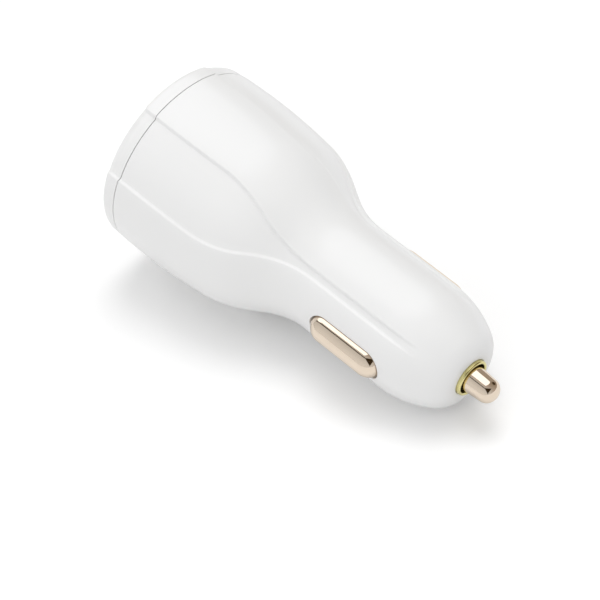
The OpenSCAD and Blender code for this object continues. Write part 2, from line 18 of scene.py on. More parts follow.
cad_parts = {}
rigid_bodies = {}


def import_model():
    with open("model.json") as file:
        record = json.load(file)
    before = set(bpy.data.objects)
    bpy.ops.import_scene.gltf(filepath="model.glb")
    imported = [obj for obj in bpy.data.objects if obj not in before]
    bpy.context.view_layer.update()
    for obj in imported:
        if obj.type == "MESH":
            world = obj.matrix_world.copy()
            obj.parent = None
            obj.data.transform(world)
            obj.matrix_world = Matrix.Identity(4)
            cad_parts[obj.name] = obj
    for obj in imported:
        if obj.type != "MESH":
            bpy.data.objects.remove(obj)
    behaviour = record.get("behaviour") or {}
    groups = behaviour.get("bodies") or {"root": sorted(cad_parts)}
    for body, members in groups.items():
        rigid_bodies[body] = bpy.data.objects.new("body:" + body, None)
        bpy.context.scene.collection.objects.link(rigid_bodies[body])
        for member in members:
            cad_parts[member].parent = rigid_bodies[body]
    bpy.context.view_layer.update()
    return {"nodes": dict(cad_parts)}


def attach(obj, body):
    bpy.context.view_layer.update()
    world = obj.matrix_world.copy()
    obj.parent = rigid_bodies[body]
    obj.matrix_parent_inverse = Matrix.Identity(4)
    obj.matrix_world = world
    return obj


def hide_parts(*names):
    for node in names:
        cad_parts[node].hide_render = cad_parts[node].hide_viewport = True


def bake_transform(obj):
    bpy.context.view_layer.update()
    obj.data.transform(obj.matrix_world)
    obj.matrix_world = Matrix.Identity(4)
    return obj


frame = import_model()


print("parts in the measured model:", len(frame["nodes"]))

# %% [markdown]
# ## The plug's sizes
# The skins follow the same sizes as the measured model. They are written in millimetres, as on a drawing,
# and turned into metres only when a mesh is made. Lengths along the plug count from the face that holds the
# sockets. Here are the sizes of the outside; those of a single piece stand beside it.

# %% Sizes of the outside
HEAD_R, HEAD_X, BOW_R, RIM_R = 17.25, 8.0, 120.0, 1.5
SHOULDER_X, SHOULDER_R, NECK_SLOPE, NECK_R = 21.5, 20.5, math.radians(30), 16.0
BARREL_R, BODY_LEN, NOSE_X, NOSE_R, TIP_R = 10.25, 68.0, 56.5, 18.0, 4.5
PIN_R, PIN_END_R, PIN_OUT, PIN_EDGE = 2.4, 2.15, 5.6, 1.9
WALL, NOSE_WALL = 1.8, 2.5
print("the body is", BODY_LEN, "mm long and", 2 * HEAD_R, "mm across the head")

# %% [markdown]
# ## The chain of arcs
# Seen from the side, the outside is a chain of arcs that run into each other without a corner: rim, bow of
# the head, shoulder, neck, nose and tip. A spline through a few points would look much the same, but it
# gives no radius to hold on to. Two arcs meet smoothly where their centres and the meeting point lie on one
# line, so each centre follows from the one before it.

# %% Centres of the arcs
def toward(angle):
    """Unit step at an angle: 0 points away from the axis and a quarter turn points to the tip."""
    return np.array([math.cos(angle), math.sin(angle)])


bow_end = math.asin((SHOULDER_X - HEAD_X) / BOW_R)
head_c = np.array([HEAD_R - BOW_R, HEAD_X])
shoulder_c = head_c + (BOW_R - SHOULDER_R) * toward(bow_end)
flank_top = shoulder_c + SHOULDER_R * toward(NECK_SLOPE)
flank_drop = flank_top[0] - BARREL_R - NECK_R * (1 - math.cos(NECK_SLOPE))
flank_run = flank_drop / math.tan(NECK_SLOPE)
neck_c = np.array([BARREL_R + NECK_R, flank_top[1] + flank_run + NECK_R * math.sin(NECK_SLOPE)])
flank_foot = neck_c - NECK_R * toward(NECK_SLOPE)
print("the flank falls from", flank_top.round(2), "to", flank_foot.round(2))
print("neck ends and barrel starts at", round(neck_c[1], 2), "mm")

# %% [markdown]
# The nose and the rim close the chain at its two ends. The small arc of the tip lies inside the large arc
# of the nose and touches it, and the rim's arc lies in the same way inside the head's bow. A Bevel would
# round these ends too, but by cutting into the arcs that are already right.

# %% Nose and rim
nose_c = np.array([BARREL_R - NOSE_R, NOSE_X])
tip_run = BODY_LEN - TIP_R - NOSE_X
tip_c = nose_c + [math.sqrt((NOSE_R - TIP_R) ** 2 - tip_run**2), tip_run]
nose_end = math.asin(tip_run / (NOSE_R - TIP_R))
rim_c = np.array([head_c[0] + math.sqrt((BOW_R - RIM_R) ** 2 - (RIM_R - HEAD_X) ** 2), RIM_R])
rim_end = math.asin((RIM_R - HEAD_X) / (BOW_R - RIM_R))
print("the tip's arc starts at", round(math.degrees(nose_end), 1), "degrees")

# %% [markdown]
# The plug lies on its shoulder and its nose. It could be turned as an object, but then patterns on its
# parts would turn too, so the points are turned before they become a mesh. The floor is the line that
# touches both arcs: its slope comes from the two centres and the two radii.

# %% How the plug lies
rest = nose_c - shoulder_c
tilt = math.asin((SHOULDER_R - NOSE_R) / np.hypot(*rest)) - math.atan2(rest[0], rest[1])
height = float(nose_c @ toward(tilt)) + NOSE_R
pin_end = BODY_LEN + PIN_OUT
dome_c = np.array([PIN_END_R - PIN_EDGE, pin_end - PIN_EDGE])
low_x = RIM_R * math.cos(tilt) - rim_c[0] * math.sin(tilt) - RIM_R
high_x = dome_c[1] * math.cos(tilt) + dome_c[0] * math.sin(tilt) + PIN_EDGE
shift = -(low_x + high_x) / 2


def lay_down(points):
    """Points in the plug's own millimetres to metres on the floor: turned nose down about Y, then moved."""
    x, y, z = points[..., 0], points[..., 1], points[..., 2]
    across = shift + x * math.cos(tilt) + z * math.sin(tilt)
    up = height - x * math.sin(tilt) + z * math.cos(tilt)
    return np.stack([across, y, up], axis=-1) / 1000


print("nose down by", round(math.degrees(tilt), 2), "degrees; axis at the face:", round(height, 2), "mm up")

# %% [markdown]
# ## From a grid of points to a mesh
# Every skin is a grid: one direction runs along a profile, the other round it. Blender's own primitives and
# modifiers could make some of them, but a grid gives each row and column a place that we choose. The first
# helpers number the quads of a grid, and the triangles that close a row at a pole.

# %% Faces of a grid
def grid_faces(rows, cols, close_rows, close_cols):
    """Quads between neighbours of a rows by cols grid of point numbers. A direction that closes on itself
    has its first row or column put after its last."""
    numbers = np.arange(rows * cols).reshape(rows, cols)
    if close_rows:
        numbers = np.vstack([numbers, numbers[:1]])
    if close_cols:
        numbers = np.hstack([numbers, numbers[:, :1]])
    a, b, c, d = numbers[:-1, :-1], numbers[:-1, 1:], numbers[1:, 1:], numbers[1:, :-1]
    return np.stack([a, b, c, d], axis=-1).reshape(-1, 4)


def pole_faces(pole, ring, first):
    """Triangles from a pole to the neighbours of a closed ring, turned round before the first row."""
    after = np.roll(ring, -1)
    sides = [after, ring] if first else [ring, after]
    return np.stack([np.full(len(ring), pole), *sides], axis=1)


print("a closed grid of 3 by 4 points has", len(grid_faces(3, 4, False, True)), "quads")

# %% [markdown]
# The next helper makes the object. Its faces must point outwards, or light would fall on the wrong side, so
# it works out the signed volume and flips the faces if that is negative. Blender can recalculate normals
# too, but on a hollow shell that may turn the inner wall round. Edges that bend a lot stay crisp, and the
# rest are shaded smooth.

# %% Make a skin
CRISP_ANGLE = math.radians(35)


def turn_outwards(mesh):
    """Flips every face of a closed mesh if its signed volume, a third of the sum of the faces' centre dot
    area vector, comes out negative."""
    count = len(mesh.polygons)
    centre, normal, area = np.empty(count * 3), np.empty(count * 3), np.empty(count)
    mesh.polygons.foreach_get("center", centre)
    mesh.polygons.foreach_get("normal", normal)
    mesh.polygons.foreach_get("area", area)
    centre = centre.reshape(-1, 3) - centre.reshape(-1, 3).mean(axis=0)
    if (np.einsum("ij,ij->i", centre, normal.reshape(-1, 3)) * area).sum() < 0:
        mesh.flip_normals()


def make_skin(name, points, close_rows=False, poles=()):
    """A mesh object from a grid of points in the plug's millimetres. Its columns close on themselves, its
    rows only where asked, and optional pole points close the first and last rows."""
    rows, cols = points.shape[:2]
    faces = grid_faces(rows, cols, close_rows, True).tolist()
    spots = points.reshape(-1, 3)
    for pole, row in zip(poles, (0, rows - 1)):
        faces += pole_faces(len(spots), row * cols + np.arange(cols), row == 0).tolist()
        spots = np.vstack([spots, pole])
    mesh = bpy.data.meshes.new(name)
    mesh.from_pydata(lay_down(spots), [], faces)
    mesh.update()
    turn_outwards(mesh)
    mesh.polygons.foreach_set("use_smooth", np.ones(len(mesh.polygons), dtype=bool))
    mesh.set_sharp_from_angle(angle=CRISP_ANGLE)
    piece = bpy.data.objects.new(name, mesh)
    bpy.context.scene.collection.objects.link(piece)
    print(name, "has", len(mesh.vertices), "points and", len(mesh.polygons), "faces")
    return piece


print("edges over", round(math.degrees(CRISP_ANGLE)), "degrees stay crisp")

# %% [markdown]
# ## Profiles
# A profile is a row of stations. Each station has a radius, a place along the axis, and the direction that
# points out of the plastic there. The flutes are pressed in along that direction, so it is kept beside the
# point and needn't be guessed from the mesh later.

# %% Stations along the outside
def arc(centre, radius, start, stop, count, hollow=False):
    """Stations on an arc: centre plus radius times the unit step at evenly spaced angles. The outward
    direction is that unit step, or its opposite on a hollow curve."""
    angles = np.linspace(start, stop, count)
    out = np.stack([np.cos(angles), np.sin(angles)], axis=1)
    return np.hstack([centre + radius * out, -out if hollow else out])


def straight(first, last, count):
    """Stations on a straight line, with the outward direction square to it on the right hand side."""
    first, last = np.array(first, float), np.array(last, float)
    way = (last - first) / np.hypot(*(last - first))
    spots = first + np.linspace(0, 1, count)[:, None] * (last - first)
    return np.hstack([spots, np.tile([way[1], -way[0]], (count, 1))])


def polyline(*corners):
    """Stations at the corners of a line with straight runs. Each keeps the direction of the run to it."""
    runs = [straight(first, last, 2)[1:] for first, last in zip(corners, corners[1:])]
    return np.vstack([straight(corners[0], corners[1], 2)[:1], *runs])


def pushed(stations, angle):
    """The same stations, with one outward direction for all of them."""
    return np.hstack([stations[:, :2], np.tile(toward(angle), (len(stations), 1))])


def bow_angle(x, inset=0.0):
    """Angle on the head's bow at a distance x from the face: the sine is the run over the radius."""
    return math.asin((x - HEAD_X) / (BOW_R - inset))


print("the bow starts at", round(math.degrees(bow_angle(0)), 2), "degrees and ends at",
      round(math.degrees(bow_end), 2))

# %% [markdown]
# ## Flutes
# Four flutes run along the plug, for grip and looks. Seen square on, a flute is a band that narrows over
# the shoulder in an S of two equal arcs, goes on as a groove and fades out. A Boolean could cut it, but
# would leave thin triangles along its edges, so it is pressed into the grid.

# %% Flute outline
FLUTE_DEPTH, FLUTE_W, GROOVE_W, STEP_W = 0.45, 6.4, 1.0, 0.6
FLUTE_X0, FLUTE_X1, GROOVE_END, FADE_LEN = 19.0, 39.5, 61.5, 7.0
FLUTES = 4


def flute_half_width(x):
    """Half width of a flute at x: FLUTE_W before FLUTE_X0, GROOVE_W after FLUTE_X1, and between them two
    equal arcs that meet half way. An arc of radius R drops R less the root of R squared less run
    squared."""
    drop, run = FLUTE_W - GROOVE_W, FLUTE_X1 - FLUTE_X0
    radius = (run**2 + drop**2) / (4 * drop)
    first = np.clip(x - FLUTE_X0, 0, run / 2)
    last = np.clip(FLUTE_X1 - x, 0, run / 2)
    down = FLUTE_W - (radius - np.sqrt(radius**2 - first**2))
    up = GROOVE_W + (radius - np.sqrt(radius**2 - last**2))
    return np.where(x < FLUTE_X0 + run / 2, down, up)


s_middle = np.array((FLUTE_X0 + FLUTE_X1) / 2)
print("half width in the middle of the S:", flute_half_width(s_middle).round(2), "mm")

# %% [markdown]
# The columns of the grid follow the edges of the flutes. Evenly spaced columns would be simpler, but the
# edges would cross them and come out jagged. So the small rounded step down into a flute always has its
# own columns, and stays clean where the flute narrows.

# %% Columns that follow the flutes
STEP_COLUMNS, FLOOR_COLUMNS, LAND_COLUMNS = 9, 9, 26
OFF_FLUTE, WIDEST = 99.0, 0.98


def flute_columns(x, r):
    """Angles round the axis, one row per station: over each flute the columns keep fixed shares of its
    width, and the lands between share their angle evenly. Returns angles, and offsets from the middle of a
    flute. The angle of an offset is the arcsine of its share of the radius, up to WIDEST."""
    half = flute_half_width(x)[:, None]
    step = np.linspace(0, 1, STEP_COLUMNS)[None, :] * STEP_W
    floor = np.linspace(-1, 1, FLOOR_COLUMNS)[None, 1:-1] * (half - STEP_W)
    offset = np.hstack([step - half, floor, half - step[:, ::-1]])
    angle = np.arcsin(np.clip(offset / r[:, None], -WIDEST, WIDEST))
    sector = 2 * math.pi / FLUTES
    share = np.linspace(0, 1, LAND_COLUMNS)[None, 1:-1]
    land = angle[:, -1:] + share * (sector + angle[:, :1] - angle[:, -1:])
    columns = np.hstack([angle, land])
    aside = np.hstack([offset, np.full(land.shape, OFF_FLUTE)])
    turns = [sector / 2 + k * sector + columns for k in range(FLUTES)]
    return np.hstack(turns), np.hstack([aside] * FLUTES)


print("columns round the body:", FLUTES * (2 * STEP_COLUMNS + FLOOR_COLUMNS - 2 + LAND_COLUMNS - 2))

# %% [markdown]
# The depth comes from the distance to the flute's edge. A bump in the material could fake it, but the notch
# that a flute makes in the outline would be missing. On the plastic the step is a little rounded, so the
# depth follows half a wave, and the groove runs out softly before its end.

# %% How deep a flute is
APART = 1e-9


def flute_press(x, aside):
    """How deep the flute is at a spot: 0 on the land, FLUTE_DEPTH on its floor, and between them half a
    wave, STEP_W wide, inside the edge. The distance to the edge is measured square to the outline. Over
    its last FADE_LEN the groove runs out, along a quarter of a sine. APART keeps equal places apart."""
    half = flute_half_width(x)[:, None]
    slope = np.gradient(flute_half_width(x), x + np.arange(len(x)) * APART)[:, None]
    inside = (half - np.abs(aside)) / np.sqrt(1 + slope**2)
    beyond = GROOVE_W - np.hypot(np.maximum(x[:, None] - GROOVE_END, 0), aside)
    inside = np.where(x[:, None] > GROOVE_END, beyond, inside)
    share = np.clip(inside / STEP_W, 0, 1)
    fade = np.clip((GROOVE_END + GROOVE_W - x[:, None]) / FADE_LEN, 0, 1)
    return FLUTE_DEPTH * np.sin(math.pi / 2 * fade) * (1 - np.cos(math.pi * share)) / 2


middle_press = flute_press(np.array([10.0, 60.0]), np.zeros((2, 1)))
print("depth on the head and near the groove's end:", middle_press.ravel().round(2), "mm")

# %% [markdown]
# A turned skin carries the stations round the axis, as the Screw modifier would, but it also presses the
# outer stations in where a flute runs, and leaves the inner ones round. Round pieces without flutes take
# evenly spaced columns.

# %% Turned skins
LATHE_COLUMNS = 96


def turned_skin(name, stations, fluted, poles=(), close_rows=False, least=0.0):
    """Carries stations (radius, x, outward radius part, outward x part) round the axis on columns that
    follow the flutes. fluted is 0 to 1 for each station: how much of the flute is pressed in there.
    Stations nearer the axis than least keep the columns that they would have at that radius."""
    r, x, out_r, out_x = stations.T
    angle, aside = flute_columns(np.clip(x, 0, BODY_LEN), np.maximum(r, least))
    press = flute_press(x, aside) * fluted[:, None]
    radius = r[:, None] - press * out_r[:, None]
    along = x[:, None] - press * out_x[:, None]
    points = np.stack([along, -radius * np.sin(angle), radius * np.cos(angle)], axis=-1)
    return make_skin(name, points, close_rows, poles)


def plain_lathe(name, stations, poles=(), close_rows=False):
    """Carries stations round the axis on evenly spaced columns: y is r sin a and z is r cos a."""
    r, x = stations[:, :1], stations[:, 1:2]
    angle = np.arange(LATHE_COLUMNS)[None, :] * 2 * math.pi / LATHE_COLUMNS
    points = np.stack([x + 0 * angle, r * np.sin(angle), r * np.cos(angle)], axis=-1)
    return make_skin(name, points, close_rows, poles)


print("a plain lathe has", LATHE_COLUMNS, "columns")

# %% [markdown]
# ## The shell
# Head, neck, barrel and nose are one moulding. Its skin starts at the seam behind the cap, runs over the
# whole outside to the hole in the nose, and comes back along the inside of the wall. A Solidify modifier
# could give the wall too, but it would carry the flutes to the inside, where the real moulding is round.

# %% Outside of the shell
SEAM_X, SEAM_GAP, SEAM_EDGE = 3.2, 0.15, 0.06
RING_R, HOLE_GAP, HOLE_EDGE = 3.3, 0.05, 0.1
seam = SEAM_X + SEAM_GAP
bow_start = bow_angle(seam + SEAM_EDGE)
front_c = head_c + (BOW_R - SEAM_EDGE) * toward(bow_start)
hole_r = RING_R + HOLE_GAP
hole_c = np.array([hole_r + HOLE_EDGE, BODY_LEN - HOLE_EDGE])
outside = np.vstack([
    pushed(arc(front_c, SEAM_EDGE, -math.pi / 2, bow_start, 5), bow_start),
    arc(head_c, BOW_R, bow_start, bow_end, 44)[1:],
    arc(shoulder_c, SHOULDER_R, bow_end, NECK_SLOPE, 26)[1:],
    straight(flank_top, flank_foot, 7)[1:],
    arc(neck_c, NECK_R, math.pi + NECK_SLOPE, math.pi, 22, hollow=True)[1:],
    straight([BARREL_R, neck_c[1]], [BARREL_R, NOSE_X], 30)[1:],
    arc(nose_c, NOSE_R, 0, nose_end, 64)[1:],
    arc(tip_c, TIP_R, nose_end, math.pi / 2, 16)[1:],
    arc(hole_c, HOLE_EDGE, math.pi / 2, math.pi, 5),
])
print("stations along the outside of the shell:", len(outside))

# %% Inside of the shell
nose_floor = BODY_LEN - NOSE_WALL
bore_end = math.asin((nose_floor - NOSE_X) / (NOSE_R - WALL))
floor_r = nose_c[0] + (NOSE_R - WALL) * math.cos(bore_end)
inside = np.vstack([
    straight([hole_r, BODY_LEN - 2 * HOLE_EDGE], [hole_r, nose_floor], 3),
    straight([hole_r, nose_floor], [floor_r, nose_floor], 3)[1:],
    arc(nose_c, NOSE_R - WALL, bore_end, 0, 12)[1:],
    straight([BARREL_R - WALL, NOSE_X], [BARREL_R - WALL, neck_c[1]], 12)[1:],
    arc(neck_c, NECK_R + WALL, math.pi, math.pi + NECK_SLOPE, 10)[1:],
    arc(shoulder_c, SHOULDER_R - WALL, NECK_SLOPE, bow_end, 10),
    arc(head_c, BOW_R - WALL, bow_end, bow_angle(seam, WALL), 12)[1:],
])
fluted = np.concatenate([np.ones(len(outside)), np.zeros(len(inside))])
shell = turned_skin("shell_skin", np.vstack([outside, inside]), fluted, close_rows=True)

# %% [markdown]
# The contacts stand in slots with round ends. A slot's edge crosses the grid, so no column can follow it,
# and here a Boolean is the better way. The cutter is made only for the cut and removed after it.

# %% Cutting tool
def cut(piece, name, points, poles):
    """Cuts a closed grid of points out of a piece and removes the cutter."""
    cutter = make_skin(name, points, poles=poles)
    tool = piece.modifiers.new(name, "BOOLEAN")
    tool.operation, tool.solver, tool.object = "DIFFERENCE", "EXACT", cutter
    bpy.context.view_layer.update()
    solid = bpy.data.meshes.new_from_object(piece.evaluated_get(bpy.context.evaluated_depsgraph_get()))
    piece.modifiers.clear()
    piece.data = solid
    piece.data.set_sharp_from_angle(angle=CRISP_ANGLE)
    bpy.data.objects.remove(cutter)
    print(piece.name, "now has", len(solid.polygons), "faces")


# %% Cut the slots
CONTACT_X, CONTACT_LEN, CONTACT_W, SLOT_GAP = 49.8, 14.8, 5.5, 0.15
SLOT_LOW, SLOT_HIGH = 6.0, 14.0
NEAR, FAR = -1, 1


def pill_ring(length, width, count):
    """Outline of a bar with round ends: points x, w that walk round two half circles joined by lines."""
    turn = np.linspace(-math.pi / 2, math.pi / 2, count)
    run = (length - width) / 2
    right = np.stack([run + width / 2 * np.cos(turn), width / 2 * np.sin(turn)], axis=1)
    return np.vstack([right, -right])


def pill_block(side, length, width):
    """A pill outline carried straight out of the plug's side from SLOT_LOW to SLOT_HIGH, with its poles."""
    ring = pill_ring(length, width, 25)
    points = np.empty((2, len(ring), 3))
    points[..., 0] = CONTACT_X + ring[None, :, 0]
    points[..., 1] = side * np.array([SLOT_LOW, SLOT_HIGH])[:, None]
    points[..., 2] = ring[None, :, 1]
    return points, [[CONTACT_X, side * SLOT_LOW, 0], [CONTACT_X, side * SLOT_HIGH, 0]]


for side in (NEAR, FAR):
    cut(shell, "slot_cutter", *pill_block(side, CONTACT_LEN + 2 * SLOT_GAP, CONTACT_W + 2 * SLOT_GAP))

# %% [markdown]
# ## The cap
# The cap closes the head. Its flat face has two windows for the sockets, its rim is rounded, and a spigot
# goes into the shell. A slice of the shell could stand for it, but it is a moulding of its own, with its
# own wall. It is turned like the shell, so that the flutes run on over it, and they fade out on the rim.

# %% Turn the cap
FACE_T, SPIGOT_LEN, SPIGOT_T, SPIGOT_GAP = 2.0, 3.0, 1.4, 0.05
CAP_POLE_R, CAP_STEP, RIM_FADE = 0.5, 0.15, 0.9
cap_end = bow_angle(SEAM_X - SEAM_EDGE)
back_c = head_c + (BOW_R - SEAM_EDGE) * toward(cap_end)
spigot_r = head_c[0] + math.sqrt((BOW_R - WALL) ** 2 - (SEAM_X - HEAD_X) ** 2) - SPIGOT_GAP
spigot_end = SEAM_X + SPIGOT_LEN
spigot_bore = spigot_r - SPIGOT_T
cap_outside = np.vstack([
    straight([CAP_POLE_R, 0], [rim_c[0], 0], 24),
    arc(rim_c, RIM_R, -math.pi / 2, rim_end, 14)[1:],
    arc(head_c, BOW_R, rim_end, cap_end, 8)[1:],
    pushed(arc(back_c, SEAM_EDGE, cap_end, math.pi / 2, 5)[1:], cap_end),
])
cap_inside = np.vstack([
    straight([back_c[0] - FLUTE_DEPTH - CAP_STEP, SEAM_X], [spigot_r, SEAM_X], 3),
    straight([spigot_r, SEAM_X], [spigot_r, spigot_end], 3)[1:],
    straight([spigot_r, spigot_end], [spigot_bore, spigot_end], 2)[1:],
    straight([spigot_bore, spigot_end], [spigot_bore, FACE_T], 3)[1:],
    straight([spigot_bore, FACE_T], [CAP_POLE_R, FACE_T], 8)[1:],
])
over_rim = np.clip((np.arctan2(cap_outside[:, 3], cap_outside[:, 2]) + math.pi / 2) / RIM_FADE, 0, 1)
cap_fluted = np.concatenate([over_rim**2 * (3 - 2 * over_rim), np.zeros(len(cap_inside))])
cap_poles = ([0, 0, 0], [FACE_T, 0, 0])
cap = turned_skin("cap_skin", np.vstack([cap_outside, cap_inside]), cap_fluted, cap_poles, least=rim_c[0])

# %% [markdown]
# The windows are a little wider than the sockets that stand in them, and their corners are rounded. They
# cross the grid as the slots do, so they are cut in the same way.

# %% Cut the windows
USB_W, USB_H, USB_Z, WINDOW_GAP, WINDOW_CORNER = 13.1, 5.8, 3.7, 0.15, 0.45
CUT_PAST = 1.0


def window_block(level, width, tall, x0, x1):
    """A rectangle with rounded corners carried along the axis: four quarter circles joined by lines."""
    turn = np.linspace(0, math.pi / 2, 7)
    quarter = np.stack([np.cos(turn), np.sin(turn)], axis=1) * WINDOW_CORNER
    corners = [(1, 1), (-1, 1), (-1, -1), (1, -1)]
    middle = np.array([width / 2 - WINDOW_CORNER, tall / 2 - WINDOW_CORNER])
    bends = [quarter, quarter[::-1] * [-1, 1], -quarter, quarter[::-1] * [1, -1]]
    ring = np.vstack([middle * c + b for c, b in zip(corners, bends)])
    points = np.empty((2, len(ring), 3))
    points[..., 0] = np.array([x0, x1])[:, None]
    points[..., 1] = ring[None, :, 0]
    points[..., 2] = level + ring[None, :, 1]
    return points, [[x0, 0, level], [x1, 0, level]]


window_w, window_h = USB_W + 2 * WINDOW_GAP, USB_H + 2 * WINDOW_GAP
for level in (USB_Z, -USB_Z):
    cut(cap, "window_cutter", *window_block(level, window_w, window_h, -CUT_PAST, FACE_T + CUT_PAST))

# %% [markdown]
# ## The contacts
# Pin, ring and side contacts are metal. The real pin and ring are turned on a lathe, so they are lathe
# skins here too. The pin has a tail, a shoulder that stops it behind the ring, a shank, a slight taper and a
# rounded end.

# %% Pin
TAIL_R, TAIL_LEN, COLLAR_R, COLLAR_T, RING_FLANGE_T = 1.25, 2.6, 3.9, 1.2, 0.8
PIN_POLE_R, PIN_TIP_R = 0.3, 0.05
ring_foot = nose_floor - RING_FLANGE_T
collar_x = ring_foot - COLLAR_T
tail_x = collar_x - TAIL_LEN
to_ring = np.array([PIN_R, BODY_LEN]) - dome_c
dome_start = math.atan2(to_ring[1], to_ring[0]) + math.acos(PIN_EDGE / np.hypot(*to_ring))
dome_foot = dome_c + PIN_EDGE * toward(dome_start)
pin_stations = np.vstack([
    polyline([PIN_POLE_R, tail_x], [TAIL_R, tail_x], [TAIL_R, collar_x], [COLLAR_R, collar_x],
             [COLLAR_R, ring_foot], [PIN_R, ring_foot]),
    straight([PIN_R, ring_foot], [PIN_R, BODY_LEN], 6)[1:],
    straight([PIN_R, BODY_LEN], dome_foot, 10)[1:],
    arc(dome_c, PIN_EDGE, dome_start, math.pi / 2, 30)[1:],
    straight([dome_c[0], pin_end], [PIN_TIP_R, pin_end], 3)[1:],
])
pin = plain_lathe("tip_pin_skin", pin_stations, ([tail_x, 0, 0], [pin_end, 0, 0]))

# %% [markdown]
# The ring is an eyelet: a tube round the pin with a flange behind the nose and a lip that is rounded over
# outside it. A torus would give the lip alone. This profile has all three and closes on itself, so the ring
# has a real bore and needs no pole.

# %% Ring
RING_GAP, RING_OUT, RING_FLANGE_R = 0.4, 0.65, 4.15
bore_r, ring_top = PIN_R + RING_GAP, BODY_LEN + RING_OUT
lip = (RING_R - bore_r) / 2
ring_stations = np.vstack([
    polyline([bore_r, ring_foot], [RING_FLANGE_R, ring_foot], [RING_FLANGE_R, nose_floor],
             [RING_R, nose_floor]),
    straight([RING_R, nose_floor], [RING_R, ring_top - lip], 8)[1:],
    arc(np.array([bore_r + lip, ring_top - lip]), lip, 0, math.pi, 15)[1:],
    straight([bore_r, ring_top - lip], [bore_r, ring_foot], 8)[1:-1],
])
ring = plain_lathe("tip_ring_skin", ring_stations, close_rows=True)

# %% [markdown]
# A side contact is a bar with round ends and a half round top, and a flange keeps it in its slot. A Bevel
# on a box comes near, but fails where it has to take up the whole width. So it is built from rings of one
# pill outline, drawn in as they rise.

# %% Side contacts
CONTACT_OUT, CONTACT_FOOT, CONTACT_FLANGE_T, FLANGE_RIM = 1.65, 6.85, 0.75, 0.8
TOP_LEFT_OPEN = 0.01


def contact_skin(name, side):
    """Rings of the pill outline: a flange, straight walls, then a half round top of radius R. At an angle a
    up the top the half width is R cos a and the height is the crest minus R plus R sin a."""
    top, foot, half = BARREL_R + CONTACT_OUT, CONTACT_FOOT, CONTACT_W / 2
    over_flange = foot + CONTACT_FLANGE_T
    flange = np.array([[0.0, foot], [FLANGE_RIM, foot], [FLANGE_RIM, over_flange], [0.0, over_flange]])
    climb = np.linspace(0, math.acos(TOP_LEFT_OPEN), 40)
    crown = np.stack([half * np.cos(climb) - half, top - half * (1 - np.sin(climb))], axis=1)
    levels = np.vstack([flange, crown])
    rings = np.stack([pill_ring(CONTACT_LEN + 2 * grow, CONTACT_W + 2 * grow, 49) for grow in levels[:, 0]])
    points = np.empty((len(levels), rings.shape[1], 3))
    points[..., 0] = CONTACT_X + rings[..., 0]
    points[..., 1] = side * levels[:, 1][:, None]
    points[..., 2] = rings[..., 1]
    return make_skin(name, points, poles=([CONTACT_X, side * foot, 0], [CONTACT_X, side * top, 0]))


near_contact = contact_skin("side_contact_left_skin", NEAR)
far_contact = contact_skin("side_contact_right_skin", FAR)

# %% [markdown]
# ## The springs
# A spring joins two bodies: one end stays on the body and the other goes with the contact. The measured
# springs are stiff, so a pushed contact would run through them. The coil is a tube along a helix. A bevelled
# curve gives such a tube too, but here the closed turns at its ends are plain to see in the formula.

# %% Coil spring
SEAT_X, COIL_R, WIRE_R, COIL_TURNS, AIR = 54.8, 2.575, 0.25, 7, 0.02
TURN_STEPS, WIRE_SIDES = 36, 12
wire = 2 * WIRE_R
coil_start, coil_end = SEAT_X + AIR, collar_x - AIR


def coil_skin(name, first, last):
    """Round wire of radius w wound round the axis at a radius R. Its middle rises by one wire over the
    first and the last turn, and evenly between them. At an angle b round the wire it is R + w cos b out and
    w sin b on."""
    turned = np.linspace(0, COIL_TURNS, TURN_STEPS * COIL_TURNS + 1)[:, None]
    rise = np.interp(turned, [0, 1, COIL_TURNS - 1, COIL_TURNS],
                     [first + wire / 2, first + 1.5 * wire, last - 1.5 * wire, last - wire / 2])
    a, b = 2 * math.pi * turned, np.arange(WIRE_SIDES)[None, :] * 2 * math.pi / WIRE_SIDES
    r = COIL_R + WIRE_R * np.cos(b)
    points = np.stack([rise + WIRE_R * np.sin(b), r * np.cos(a), r * np.sin(a)], axis=-1)
    return make_skin(name, points, poles=(points[0].mean(axis=0), points[-1].mean(axis=0)))


coil = coil_skin("tip_spring_skin", coil_start, coil_end)

# %% [markdown]
# A leaf spring is a strip bent to an arc. Its middle leans on the board's edge and its ends on the
# contact's flange. A flat strip could be bent by a modifier, but the arc follows straight from the rise and
# the run. Four corners, carried along it, are all it needs.

# %% Leaf springs
LEAF_LEN, LEAF_W, LEAF_T, BOARD_SIDE, LEAF_TOP = 12.5, 3.4, 0.3, 4.4, 6.818


def leaf_skin(name, side):
    """A strip bent to an arc. With rise h over a run l the radius is (l squared / 4 + h squared) / 2h. The
    hollow side is the same arc LEAF_T nearer its centre, cut off level with the ends."""
    rise = LEAF_TOP - BOARD_SIDE
    bend_r = (LEAF_LEN**2 / 4 + rise**2) / (2 * rise)
    under = np.linspace(-LEAF_LEN / 2, LEAF_LEN / 2, 49)
    over = under * math.sqrt((bend_r - LEAF_T) ** 2 - (bend_r - rise) ** 2) / (LEAF_LEN / 2)
    centre = BOARD_SIDE + bend_r
    low = centre - np.sqrt(bend_r**2 - under**2)
    high = centre - np.sqrt((bend_r - LEAF_T) ** 2 - over**2)
    points = np.empty((len(under), 4, 3))
    points[..., 0] = CONTACT_X + np.stack([under, under, over, over], axis=1)
    points[..., 1] = side * np.stack([low, low, high, high], axis=1)
    points[..., 2] = LEAF_W / 2 * np.array([-1, 1, 1, -1])
    return make_skin(name, points, poles=(points[0].mean(axis=0), points[-1].mean(axis=0)))


near_leaf = leaf_skin("leaf_spring_left_skin", NEAR)
far_leaf = leaf_skin("leaf_spring_right_skin", FAR)

